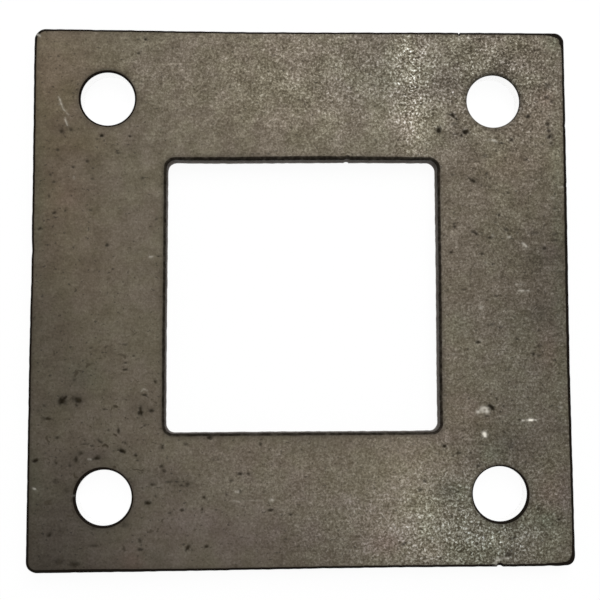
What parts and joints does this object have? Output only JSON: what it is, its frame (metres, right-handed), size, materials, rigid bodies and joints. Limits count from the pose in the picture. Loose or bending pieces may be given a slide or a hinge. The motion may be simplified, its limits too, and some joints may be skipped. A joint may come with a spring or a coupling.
{
  "type": "square post cover plate",
  "caption": "Flat square steel plate with a square window that drops over a post and a round fixing hole near each corner.",
  "frame": {"origin": "centre of the underside, on the axis of the post", "axes": "+Z out of the top face, X and Y along the plate's sides"},
  "size_m": [0.15, 0.15, 0.005],
  "materials": {
    "steel": "hot-rolled mill scale, brown-grey and mottled, dark along the cut edges"
  },
  "bodies": {
    "root": {"cover_plate": "steel"}
  },
  "joints": []
}
